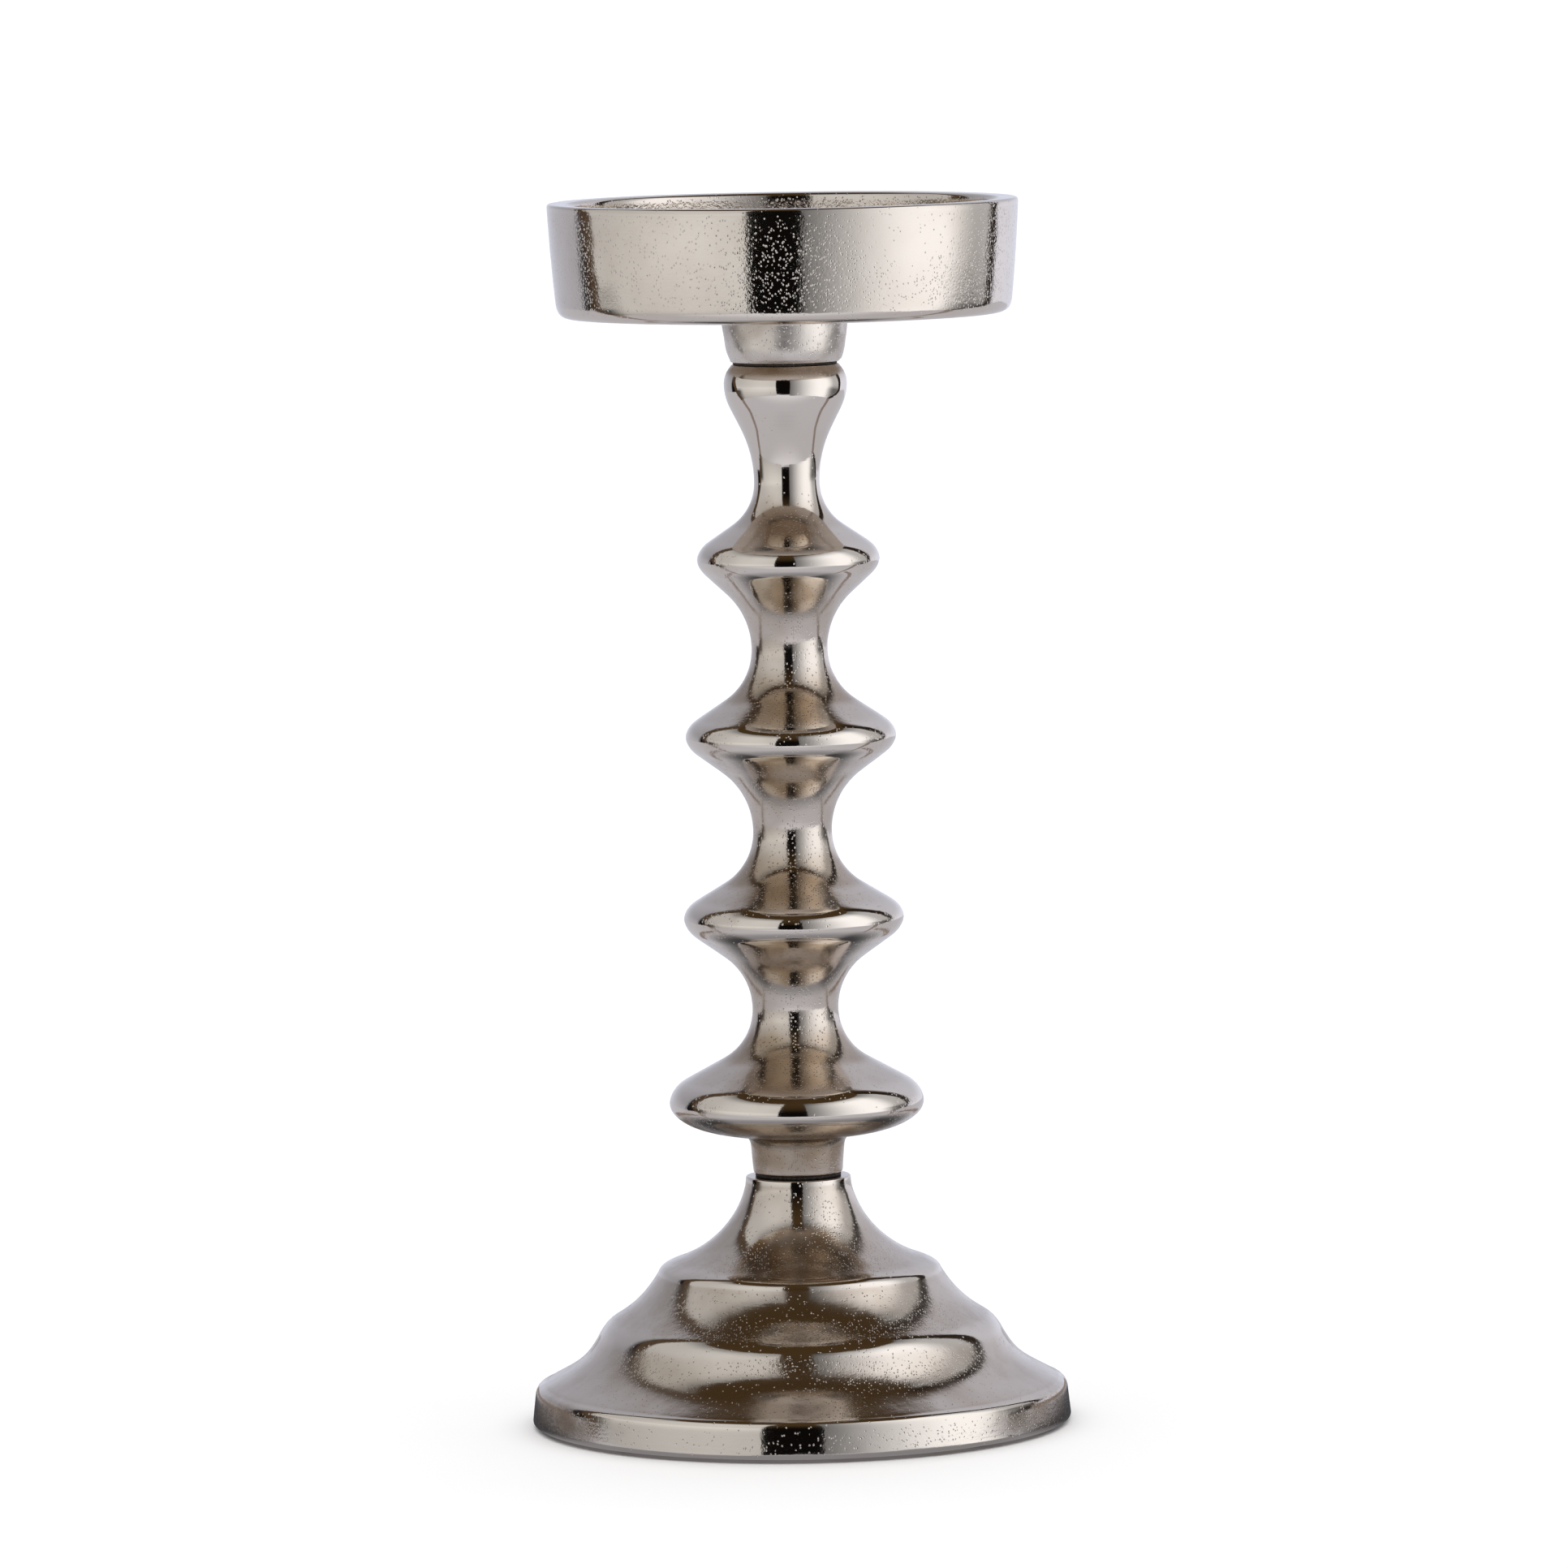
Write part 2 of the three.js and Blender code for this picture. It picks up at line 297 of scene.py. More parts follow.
def nickelMaterial(name, look):
    material, tree = newMaterial(name)
    coords = addNode(tree, "TexCoord").outputs["Object"]
    pitted = addNode(tree, "Attribute", {"attribute_name": "pitted"}).outputs["Fac"]
    satin = addNode(tree, "Attribute", {"attribute_name": "satin"}).outputs["Fac"]
    brown = addNode(tree, "Attribute", {"attribute_name": "brown"}).outputs["Fac"]
    cloud = addNode(tree, "TexNoise", {"Scale": perSize(look["cloudMm"]), "Detail": 3.0}, {"Vector": coords})
    uneven = addNode(tree, "MapRange", {1: 0.35, 2: 0.65, 3: 0.55, 4: 1.25}, {0: cloud.outputs[0]}).outputs[0]
    dulled = addNode(tree, "Math", {"operation": "MULTIPLY", "use_clamp": True}, {
        0: satin, 1: uneven,
    }).outputs[0]
    # pits: cells of a Voronoi pattern, pulled out of round by noise, and a share of them hollowed
    warp = addNode(tree, "TexNoise", {"Scale": perSize(look["pitMm"] * 0.8)}, {"Vector": coords})
    pull = (look["pitWarpMm"] * 2 * mm,) * 3
    pulled = addNode(tree, "VectorMath", {"operation": "MULTIPLY_ADD", 1: pull}, {
        0: warp.outputs["Color"], 2: coords,
    })
    tall = addNode(tree, "Mapping", {"Scale": (1.0, 1.0, look["pitTall"])}, {"Vector": pulled.outputs[0]})
    cells = addNode(tree, "TexVoronoi", {"Scale": perSize(look["pitMm"])}, {"Vector": tall.outputs[0]})
    chance = addNode(tree, "SeparateColor", {}, {0: cells.outputs["Color"]}).outputs[0]
    share = addNode(tree, "Math", {"operation": "MULTIPLY", 1: look["pitShare"]}, {0: pitted}).outputs[0]
    chosen = addNode(tree, "Math", {"operation": "LESS_THAN"}, {0: chance, 1: share}).outputs[0]
    bowl = addNode(tree, "MapRange", {"interpolation_type": "SMOOTHSTEP", 1: 0.42, 2: 0.05}, {
        0: cells.outputs["Distance"],
    }).outputs[0]
    deeper = addNode(tree, "MapRange", {2: 0.5, 3: 1.0, 4: look["pitDeeper"]}, {0: brown}).outputs[0]
    sunk = addNode(tree, "Math", {"operation": "MULTIPLY"}, {0: bowl, 1: deeper}).outputs[0]
    fine = addNode(tree, "TexNoise", {"Scale": perSize(look["grainMm"]), "Detail": 2.0}, {"Vector": coords})
    ripple = addNode(tree, "TexNoise", {"Scale": perSize(look["rippleMm"]), "Detail": 1.0}, {
        "Vector": coords,
    })
    # buffing marks: noise drawn out level, so the streaks run round the piece
    level = addNode(tree, "Mapping", {"Scale": (0.05, 0.05, 1.0)}, {"Vector": coords})
    buff = addNode(tree, "TexNoise", {"Scale": perSize(look["buffMm"]), "Detail": 2.0}, {
        "Vector": level.outputs[0],
    })
    height = addNode(tree, "Math", {"operation": "MULTIPLY", 1: look["buffDepthMm"]}, {0: buff.outputs[0]})
    # each pattern, where it shows, and how far it stands out
    for pattern, where, depth in (
        (sunk, chosen, -look["pitDepthMm"]),
        (fine.outputs[0], pitted, look["grainDepthMm"]),
        (ripple.outputs[0], dulled, look["rippleDepthMm"]),
    ):
        shown = addNode(tree, "Math", {"operation": "MULTIPLY"}, {0: pattern, 1: where})
        height = addNode(tree, "Math", {"operation": "MULTIPLY_ADD", 1: depth}, {
            0: shown.outputs[0], 2: height.outputs[0],
        })
    bump = addNode(tree, "Bump", {"Strength": 1.0, "Distance": mm}, {"Height": height.outputs[0]})
    # the bowl of a pit glints, even where the skin round it is satin
    pit = addNode(tree, "Math", {"operation": "MULTIPLY"}, {0: bowl, 1: chosen}).outputs[0]
    unpitted = addNode(tree, "MapRange", {3: 1.0, 4: 1 - look["pitGlint"]}, {0: pit}).outputs[0]
    rough = addNode(tree, "Math", {"operation": "MULTIPLY"}, {0: dulled, 1: unpitted}).outputs[0]
    roughness = addNode(tree, "MapRange", {3: look["smoothRoughness"], 4: look["satinRoughness"]}, {0: rough})
    # how much of the dull colour shows: oxide where satin, plus the brown mark, which is partly oxide and
    # partly painted reflection
    oxideAndReflection = addNode(tree, "Math", {"operation": "MULTIPLY_ADD", "use_clamp": True, 1: look["oxideShare"]}, {
        0: dulled, 2: brown,
    })
    colour = addNode(tree, "Mix", {"data_type": "RGBA", 6: linear(look["bright"]), 7: linear(look["dull"])}, {
        0: oxideAndReflection.outputs[0],
    })
    shader = addNode(tree, "BsdfPrincipled", {"Metallic": 1.0}, {
        "Base Color": colour.outputs[2], "Roughness": roughness.outputs[0], "Normal": bump.outputs[0],
    })
    addNode(tree, "OutputMaterial", {}, {"Surface": shader.outputs[0]})
    return material


# Bright zinc on turned or stamped steel: a cool, slightly cloudy metal with faint blue and straw tints.
zincLook = {
    "cool": "#c3c8cf",
    "straw": "#cfc7b2",
    "roughness": 0.28,
    "cloudMm": 2.5,
    "scratchMm": 0.25,
    "scratchDepthMm": 0.006,
}


def zincMaterial(name, look):
    material, tree = newMaterial(name)
    coords = addNode(tree, "TexCoord").outputs["Object"]
    cloud = addNode(tree, "TexNoise", {"Scale": perSize(look["cloudMm"]), "Detail": 3.0}, {"Vector": coords})
    fine = addNode(tree, "TexNoise", {"Scale": perSize(look["scratchMm"]), "Detail": 2.0}, {"Vector": coords})
    colour = addNode(tree, "Mix", {"data_type": "RGBA", 6: linear(look["cool"]), 7: linear(look["straw"])}, {
        0: cloud.outputs[0],
    })
    roughness = addNode(tree, "MapRange", {3: 0.5 * look["roughness"], 4: 1.5 * look["roughness"]}, {
        0: cloud.outputs[0],
    }).outputs[0]
    depth = look["scratchDepthMm"] * mm
    bump = addNode(tree, "Bump", {"Strength": 1.0, "Distance": depth}, {"Height": fine.outputs[0]})
    shader = addNode(tree, "BsdfPrincipled", {"Metallic": 1.0}, {
        "Base Color": colour.outputs[2], "Roughness": roughness, "Normal": bump.outputs[0],
    })
    addNode(tree, "OutputMaterial", {}, {"Surface": shader.outputs[0]})
    return material


# Nitrile rubber sheet, punched: near black, matt, with a dusty bloom and metal dust pressed into it.
rubberLook = {"clean": "#1c1713", "bloom": "#4a3d31", "roughness": 0.7, "dustMm": 0.7, "dustDepthMm": 0.05}


def rubberMaterial(name, look):
    material, tree = newMaterial(name)
    coords = addNode(tree, "TexCoord").outputs["Object"]
    dust = addNode(tree, "TexNoise", {"Scale": perSize(look["dustMm"]), "Detail": 4.0}, {"Vector": coords})
    amount = addNode(tree, "MapRange", {1: 0.45, 2: 0.75}, {0: dust.outputs[0]})
    colour = addNode(tree, "Mix", {"data_type": "RGBA", 6: linear(look["clean"]), 7: linear(look["bloom"])}, {
        0: amount.outputs[0],
    })
    depth = look["dustDepthMm"] * mm
    bump = addNode(tree, "Bump", {"Strength": 1.0, "Distance": depth}, {"Height": dust.outputs[0]})
    shader = addNode(tree, "BsdfPrincipled", {"Roughness": look["roughness"], "IOR": 1.52}, {
        "Base Color": colour.outputs[2], "Normal": bump.outputs[0],
    })
    addNode(tree, "OutputMaterial", {}, {"Surface": shader.outputs[0]})
    return material


# Pressed wool felt: short grey fibres lying every way, lighter where they catch the light.
feltLook = {
    "deep": "#2f2d2b",
    "fibre": "#6b6762",
    "fibreMm": 0.35,
    "fibreDepthMm": 0.25,
    "clumpMm": 1.4,
    "clumpPullMm": 2,
}


def feltMaterial(name, look):
    material, tree = newMaterial(name)
    coords = addNode(tree, "TexCoord").outputs["Object"]
    warp = addNode(tree, "TexNoise", {"Scale": perSize(look["clumpMm"]), "Detail": 2.0}, {"Vector": coords})
    pull = (look["clumpPullMm"] * mm,) * 3
    bent = addNode(tree, "VectorMath", {"operation": "MULTIPLY_ADD", 1: pull}, {
        0: warp.outputs["Color"], 2: coords,
    })
    fibres = addNode(tree, "TexNoise", {"Scale": perSize(look["fibreMm"]), "Detail": 5.0, "Roughness": 0.7}, {
        "Vector": bent.outputs[0],
    })
    colour = addNode(tree, "Mix", {"data_type": "RGBA", 6: linear(look["deep"]), 7: linear(look["fibre"])}, {
        0: fibres.outputs[0],
    })
    depth = look["fibreDepthMm"] * mm
    bump = addNode(tree, "Bump", {"Strength": 1.0, "Distance": depth}, {"Height": fibres.outputs[0]})
    shader = addNode(tree, "BsdfPrincipled", {
        "Roughness": 0.95, "Sheen Weight": 0.4, "Sheen Roughness": 0.5,
    }, {"Base Color": colour.outputs[2], "Normal": bump.outputs[0]})
    addNode(tree, "OutputMaterial", {}, {"Surface": shader.outputs[0]})
    return material


nickel = nickelMaterial("buffedNickelCasting", nickelLook)
zinc = zincMaterial("brightZincSteel", zincLook)
rubber = rubberMaterial("nitrileRubber", rubberLook)
felt = feltMaterial("pressedWoolFelt", feltLook)
print("finishes made")


castCells = {"wanderCellMm": 26, "patchCellMm": 17, "rippleCellMm": 3.6, "dimpleCellMm": 1.7}


def castRelief(style, cells=castCells):
    # A casting is never quite true: it wanders over a few centimetres and ripples over a few millimetres.
    # Ripples fall to a third outside the rougher patches, and dimples under half as deep show only in them.
    wanderMm, rippleMm, seed = style["wanderMm"], style["rippleMm"], style["seed"]

    def reliefAt(points):
        patch = ramp(castNoise(points, cells["patchCellMm"], seed + 3), -0.2, 0.6)
        wander = castNoise(points, cells["wanderCellMm"], seed) * wanderMm
        ripple = castNoise(points, cells["rippleCellMm"], seed + 1) * rippleMm * (0.35 + 0.65 * patch)
        dimple = castNoise(points, cells["dimpleCellMm"], seed + 2) * rippleMm * 0.45 * patch
        return wander + ripple + dimple
    return reliefAt


base = {
    "sides": 400,
    "bore": 4.5,
    "seat": 43.0,  # flat inside the bell that the plain washer bears on
    "seatRadius": 16.0,
    "outerStep": 0.6,
    "innerStep": 2.0,
    "outsideShare": 0.86,  # of the outline's rings, before the hidden inside begins
    "soften": 0.22,
    "wanderMm": 0.09,
    "rippleMm": 0.022,
    "seed": 11,
    "bendReach": 1.2,
    "crest": (-0.03, 0.09),  # the bends, in radians per mm, at which a crest starts and is full
    "pitted": (0.2, 0.12),  # in its hollows, and how much less on its crests
    "satin": (0.3, 0.25),
    "brown": 0.05,
    "hollow": 0.06,  # the inward bend, in radians per mm, at which a hollow is fully brown
    "inside": (0.9, 0.95),  # pitted and satin where no wheel reached
    "rim": (64.5, 8.5, 0.05),  # wider than that and lower than that, it is the rim, and that satin
    "patches": [
        (20, 52, 22, 8, 0.8, 0.15), (-30, 50, 22, 7, 0.15, 0.08), (35, 19, 30, 4, 0.8, 0.3),
        # the patches at -66 and 68 degrees, low on the rim, make its ends satin and so browner: partly oxide,
        # partly painted shade that those ends mirror
        (0, 21, 24, 2, 0.9, 0.2), (24, 5, 20, 2, 0.6, 0.04), (-66, 6, 20, 4, 0.9, 0.5),
        (68, 6, 20, 4, 0.9, 0.4), (0, 5, 12, 4, 0.3, 0.02), (0, 55, 14, 7, 0.4, 0.03),
        (12, 29, 40, 2, 0.8, 0.08), (0, 28, 900, 2, 0.8, 0.35), (0, 43, 900, 3, 0.8, 0.3),
        (-52, 18, 12, 4, 0.95, 0.35), (-60, 31, 12, 4, 0.9, 0.35), (55, 31, 14, 4, 0.7, 0.3),
    ],
}


def makeBase(style):
    # the outline of the bell, spun round the axis: out along its foot, up the rim and the coves to the
    # collar, down the bore to the seat, and back along the inside
    low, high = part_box("stepped_base")
    foot, collar = low.z / mm, high.z / mm
    rim = [
        bezier((65.3, foot), (65.9, foot), (65.95, foot + 0.7)),
        bezier((65.95, foot + 0.7), (65.25, 7.85)),
        bezier((65.25, 7.85), (65, 9.85), (63.75, 10.05)),
    ]
    coves = [
        bezier((63.75, 10.05), (56.3, 14.3), (53.2, 15.05), (49.3, 22.55)),
        bezier((49.3, 22.55), (47.8, 25.25), (45.8, 26.4)),
        bezier((45.8, 26.4), (40.9, 29.3), (37.7, 32.5), (34.6, 37.6)),
        bezier((34.6, 37.6), (34.3, 39.1), (30.9, 40.25)),
        bezier((30.9, 40.25), (22.65, 42.95), (15.15, 49.35), (12.95, 58.75)),
        bezier((12.95, 58.75), (12.8, collar - 0.4)),
    ]
    outside = softened(np.concatenate([rim[1], rim[2][1:]] + [c[1:] for c in coves]), style["soften"])
    inside = np.concatenate([
        bezier((style["seatRadius"], style["seat"]), (26, 41.5), (34, 34), (41.5, 25.5)),
        bezier((41.5, 25.5), (46, 20), (51, 14), (53.8, 6))[1:],
        bezier((53.8, 6), (54.2, 3.5), (54.5, foot))[1:],
    ])
    bore, seat = style["bore"], style["seat"]
    spun = spin([
        (bezier((54.5, foot), (65.3, foot)), 1.5, 0.2),
        (rim[0], 0.2, 0.5),
        (outside, style["outerStep"], 1),
        (bezier((12.8, collar - 0.4), (12.8, collar), (12.4, collar)), 0.15, 0.3),
        (bezier((12.4, collar), (bore, collar)), 1.5, 0),
        (bezier((bore, collar), (bore, seat)), 3, 0),
        (bezier((bore, seat), (style["seatRadius"], seat)), 1.5, 0),
        (inside, style["innerStep"], 1.5),
    ], style["sides"], closed=True)
    points, faces, kept = castSurface(spun, castRelief(style))
    bend = bendOf(spun, style["bendReach"])
    outer = np.arange(len(bend)) < len(bend) * style["outsideShare"]
    pitted, satin = hollowToCrest(style, bend)
    pitted = np.where(outer, pitted, style["inside"][0])
    satin = np.where(outer, satin, style["inside"][1])
    rimRadius, rimTop, rimSatin = style["rim"]
    satin = np.where((spun["rows"][:, 0] > rimRadius) & (spun["rows"][:, 1] < rimTop), rimSatin, satin)
    # browner in its hollows: partly oxide, partly painted brown reflection
    brown = style["brown"] * ramp(-bend, 0, style["hollow"])
    addPiece(
        "nickelBase", points, faces, nickel, "holder", ["stepped_base"],
        castMarks(spun, kept, pitted, satin, brown, style["patches"]),
    )


makeBase(base)
print("base made")


stem = {
    "sides": 252,
    "tapped": 4.3,
    "tappedDepth": 17.5,
    "step": 0.9,
    "soften": 0.7,
    "wanderMm": 0.07,
    "rippleMm": 0.016,
    "seed": 41,
    "bendReach": 1.5,
    "crest": (-0.09, 0.1),  # the bends, in radians per mm, at which a crest starts and is full
    "pitted": (0.5, 0.45),  # in its hollows, and how much less on its crests
    "satin": (0.36, 0.34),
    "brown": 0.3,
    "hollow": 0.06,  # the inward bend, in radians per mm, at which a hollow is fully brown
    "upward": (0.2, 0.5),  # how far up a hollow faces where its brown starts, and where it is full: partly oxide, partly painted reflection of the brown it mirrors
    "buffedBest": (200, 225),  # the heights between which the wheel's work gets better
    "buffedLess": (0.85, 0.8, 0.5),  # and how much less pitted, satin and brown that leaves it, the brown being partly painted reflection
    "patches": [
        (0, 66, 180, 5, 0.8, 0.6), (0, 74, 180, 3, 0.4, 0.7), (-70, 73, 40, 4, 0.6, 0.95),
        (0, 259, 900, 1.6, 0.7, 0.7), (6, 124, 14, 3, 0.35, 0.03),
        (6, 170, 16, 3, 0.4, 0.03), (20, 190, 30, 10, 0.55, 0.16), (10, 146, 30, 10, 0.55, 0.16),
        (5, 102, 30, 12, 0.55, 0.18),
    ],
    # patches that every disc has, with heights from its widest ring: pitted where its bright edge ends, and
    # brown on the front of its shoulder, a painted brown reflection
    "discPatches": [
        (-48, -1, 13, 4, 0.9, 0.12), (60, -1, 13, 4, 0.9, 0.12), (-6, 8.5, 34, 5, 0.6, 0.2, 0.5),
    ],
    # widest rings (beads) and hollows between them (necks): radius, height, radius of the curve below and
    # above, and how far the two curves of a bead cross before they meet in its soft ridge
    "stations": [
        ("bead", 31.2, 79.3, 0, 7.3, 1.15),
        ("neck", 10.45, 102.2, 14, 15.8, 0),
        ("bead", 27, 124.5, 6.7, 6, 1.15),
        ("neck", 9.6, 145.8, 15, 18.1, 0),
        ("bead", 25.8, 169, 6.3, 6.1, 1.15),
        ("neck", 9.25, 190.3, 15.1, 18.4, 0),
        ("bead", 22.4, 212.2, 6.3, 6.5, 1.15),
        ("neck", 7.95, 231, 12.5, 29.6, 0),
        ("bead", 15, 255.1, 13, 6, 0),
    ],
}


def flank(start, end):
    # From one station up to the next: the arc of the first, the straight line that touches both arcs,
    # and the arc of the second. The line's angle from upright is atan2(across, up) between the arcs'
    # centres, plus asin(both radii together / the distance between the centres).
    rising = start[0] == "bead"
    bead, neck = (start, end) if rising else (end, start)
    edge, hollow = (bead[4], neck[3]) if rising else (bead[3], neck[4])
    side = 1 if rising else -1
    first = math.asin(bead[5] / edge)
    edgeCentre = (bead[1] - edge * math.cos(first), bead[2] - side * bead[5])
    neckCentre = (neck[1] + hollow, neck[2])
    across = edgeCentre[0] - neckCentre[0]
    up = abs(edgeCentre[1] - neckCentre[1])
    angle = math.atan2(across, up) + math.asin((hollow + edge) / math.hypot(across, up))
    if rising:
        return np.concatenate([
            arc(edgeCentre, edge, first, angle),
            arc(neckCentre, hollow, math.pi + angle, math.pi),
        ])
    return np.concatenate([
        arc(neckCentre, hollow, math.pi, math.pi - angle),
        arc(edgeCentre, edge, -angle, -first),
    ])


def makeStem(style):
    # the outline from the bottom of one tapped hole, out and up over the discs and the bulb, to the bottom
    # of the other, spun round the axis
    low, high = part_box("beaded_stem")
    foot, top = low.z / mm, high.z / mm
    stations = style["stations"]
    widest, bulb = stations[0], stations[-1]
    outside = [
        bezier((10.95, foot + 0.6), (11.45, 69)),
        bezier((11.45, 69), (11.6, 71), (14, 71.4)),
        bezier((14, 71.4), (23.6, 72.3), (27.6, 74.7)),
        bezier((27.6, 74.7), (widest[1], 76.8), (widest[1], widest[2])),
    ]
    outside += [flank(a, b) for a, b in zip(stations, stations[1:])]
    ending = math.asin((top - 0.3 - bulb[2]) / bulb[4])
    outside.append(arc((bulb[1] - bulb[4], bulb[2]), bulb[4], 0, ending))
    outside = softened(np.concatenate(outside), style["soften"])
    hole, depth = style["tapped"], style["tappedDepth"]
    spun = spin([
        (bezier((0, foot + depth), (hole, foot + depth)), 1.5, 0),
        (bezier((hole, foot + depth), (hole, foot)), 3, 0),
        (bezier((hole, foot), (10.5, foot)), 1.5, 0),
        (bezier((10.5, foot), (10.9, foot), outside[0]), 0.2, 0.3),
        (outside, style["step"], 1),
        (bezier(outside[-1], (13.1, top), (12.6, top)), 0.2, 0.3),
        (bezier((12.6, top), (hole, top)), 1.5, 0),
        (bezier((hole, top), (hole, top - depth)), 3, 0),
        (bezier((hole, top - depth), (0, top - depth)), 1.5, 0),
    ], style["sides"])
    points, faces, kept = castSurface(spun, castRelief(style))
    bend = bendOf(spun, style["bendReach"])
    patches = style["patches"] + [
        (angle, disc[2] + above, *rest)
        for disc in stations[:-1:2] for angle, above, *rest in style["discPatches"]
    ]
    pitted, satin = hollowToCrest(style, bend)
    # brown in hollows that face up: partly oxide, partly painted reflection of the brown they mirror
    brown = style["brown"] * ramp(-bend, 0, style["hollow"]) * ramp(spun["outward"][:, 1], *style["upward"])
    higher = ramp(spun["rows"][:, 1], *style["buffedBest"])
    pitted, satin, brown = [
        mark * (1 - less * higher) for mark, less in zip((pitted, satin, brown), style["buffedLess"])
    ]
    addPiece(
        "nickelStem", points, faces, nickel, "holder", ["beaded_stem"],
        castMarks(spun, kept, pitted, satin, brown, patches),
    )


makeStem(stem)
print("stem made")


cup = {
    "sides": 384,
    "tapped": 4.3,
    "tappedDepth": 13.5,
    "underside": 271.8,
    "floor": 276.5,
    "outsideShare": 0.72,  # of the outline's rings, before the lip turns inwards
    "outsideRadius": 53.5,
    "bossRadius": 18.0,
    "soften": 0.3,
    "wanderMm": 0.05,
    "rippleMm": 0.014,
    "seed": 71,
    "bossRelief": 8,  # its share of the relief: by far the roughest, since no wheel gets under the cup
    "bendReach": 1.0,
    "crest": (0.02, 0.3),  # the bends, in radians per mm, at which a crest starts and is full
    "pitted": (0.4, 0.36),  # on the wall, and how much less on its crests
    "satin": (0.12, 0.09),
    "inside": (0.95, 0.12),  # pitted and satin
    "boss": (0.5, 0.8, -0.65),  # pitted, satin and brown: satin, yet bright
    "patches": [
        (4, 284, 20, 12, 0.95, 0.04), (32, 291, 13, 9, 0.05, 0.1), (52, 281, 14, 8, 1.0, 0.1),
        (-40, 282, 22, 10, 0.35, 0.12), (0, 300, 900, 2, 0.1, 0.12), (0, 273, 900, 1.2, 0.1, 0.1),
        (-59, 286, 5, 16, 1.0, 0.1), (62, 287, 5, 16, 1.0, 0.06),
    ],
}


def makeCup(style):
    # the outline from the end of the tapped hole, out over the boss, underside, wall and lip, and back to
    # the middle of the floor, spun round the axis
    low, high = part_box("candle_cup")
    foot, rim = low.z / mm, high.z / mm
    under, floor = style["underside"], style["floor"]
    hole, depth = style["tapped"], style["tappedDepth"]
    boss = softened(np.concatenate([
        bezier((13.3, foot + 0.3), (14.4, 262.6), (14.6, 264.6)),
        bezier((14.6, 264.6), (15.3, 269.6))[1:],
        bezier((15.3, 269.6), (15.5, under), (17.5, under))[1:],
    ]), style["soften"])
    wall = softened(np.concatenate([
        bezier((52.4, under), (55.1, under), (55.45, 275.2)),
        bezier((55.45, 275.2), (56.6, 286), (57.25, rim - 0.9))[1:],
    ]), style["soften"])
    lip = np.concatenate([
        bezier((57.25, rim - 0.9), (57.28, rim - 0.05), (56.4, rim)),
        bezier((56.4, rim), (54.8, rim + 0.05), (53, rim - 0.1))[1:],
        bezier((53, rim - 0.1), (52.1, rim - 0.2), (52, rim - 1.2))[1:],
    ])
    inside = np.concatenate([
        bezier((52, rim - 1.2), (51.3, floor + 3)),
        bezier((51.3, floor + 3), (51.2, floor), (48.2, floor))[1:],
    ])
    spun = spin([
        (bezier((0, foot + depth), (hole, foot + depth)), 1.5, 0),
        (bezier((hole, foot + depth), (hole, foot)), 3, 0),
        (bezier((hole, foot), (12.9, foot)), 1.5, 0),
        (bezier((12.9, foot), (13.2, foot), (13.3, foot + 0.3)), 0.15, 0.3),
        (boss, 0.5, style["bossRelief"]),
        (bezier((17.5, under), (52.4, under)), 1.3, 1.2),
        (wall, 0.45, 1.4),
        (lip, 0.15, 0.8),
        (inside, 0.7, 1.6),
        (bezier((48.2, floor), (0, floor)), 1.6, 1.2),
    ], style["sides"])
    points, faces, kept = castSurface(spun, castRelief(style))
    rows = spun["rows"]
    count = len(rows)
    bend = bendOf(spun, style["bendReach"])
    outer = (rows[:, 0] > style["outsideRadius"]) & (np.arange(count) < count * style["outsideShare"])
    onBoss = (rows[:, 0] < style["bossRadius"]) & (rows[:, 1] < under + 0.1)
    marks = [*hollowToCrest(style, bend), np.zeros(count)]
    marks = [np.where(outer, mark, value) for mark, value in zip(marks, (*style["inside"], 0))]
    pitted, satin, brown = [np.where(onBoss, value, mark) for mark, value in zip(marks, style["boss"])]
    addPiece(
        "nickelCup", points, faces, nickel, "cup", ["candle_cup"],
        castMarks(spun, kept, pitted, satin, brown, style["patches"]),
    )


makeCup(cup)
print("cup made")


thread = {"pitch": 1.25, "depth": 0.62, "sides": 40, "stepsPerPitch": 8, "chamfer": 0.9}


def makeStud(name, node, body, style):
    # A rod whose radius falls and rises once in each pitch along it, a little later with each bit of
    # turn: r = major - depth * |2 * frac(z / pitch - a / 2 pi) - 1|, cut back to a cone at both ends.
    low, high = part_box(node)
    bottom, top, major = low.z / mm, high.z / mm, high.x / mm
    rings = round((top - bottom) / style["pitch"] * style["stepsPerPitch"])
    heights = np.linspace(bottom, top, rings)
    turn = np.arange(style["sides"]) * 2 * math.pi / style["sides"]
    z, a = np.meshgrid(heights, turn, indexing="ij")
    phase = (z - bottom) / style["pitch"] - a / (2 * math.pi)
    radius = major - style["depth"] * np.abs(2 * (phase - np.floor(phase)) - 1)
    fromEnd = np.minimum(z - bottom, top - z)
    radius = np.minimum(radius, major - style["chamfer"] + fromEnd)
    points = np.stack([radius * np.cos(a), radius * np.sin(a), z], -1).reshape(-1, 3)
    sides, total = style["sides"], rings * style["sides"]
    faces = gridFaces(rings, sides, False)
    faces += [[total, (j + 1) % sides, j] for j in range(sides)]
    faces += [[total - sides + j, total - sides + (j + 1) % sides, total + 1] for j in range(sides)]
    points = np.concatenate([points, [[0, 0, bottom], [0, 0, top]]])
    addPiece(name, points, faces, zinc, body, [node])


makeStud("cupStud", "cup_stud", "cup", thread)
makeStud("baseStud", "base_stud", "holder", thread)
print("studs made")


def roundedSection(inner, outer, bottom, top, edge, count):
    # a rectangle with quarter arcs of radius edge for corners, from the outer bottom one on
    quarter = math.pi / 2
    corners = [
        ((outer - edge, bottom + edge), -quarter), ((outer - edge, top - edge), 0),
        ((inner + edge, top - edge), quarter), ((inner + edge, bottom + edge), 2 * quarter),
    ]
    return np.concatenate([arc(c, edge, a, a + quarter, count) for c, a in corners])


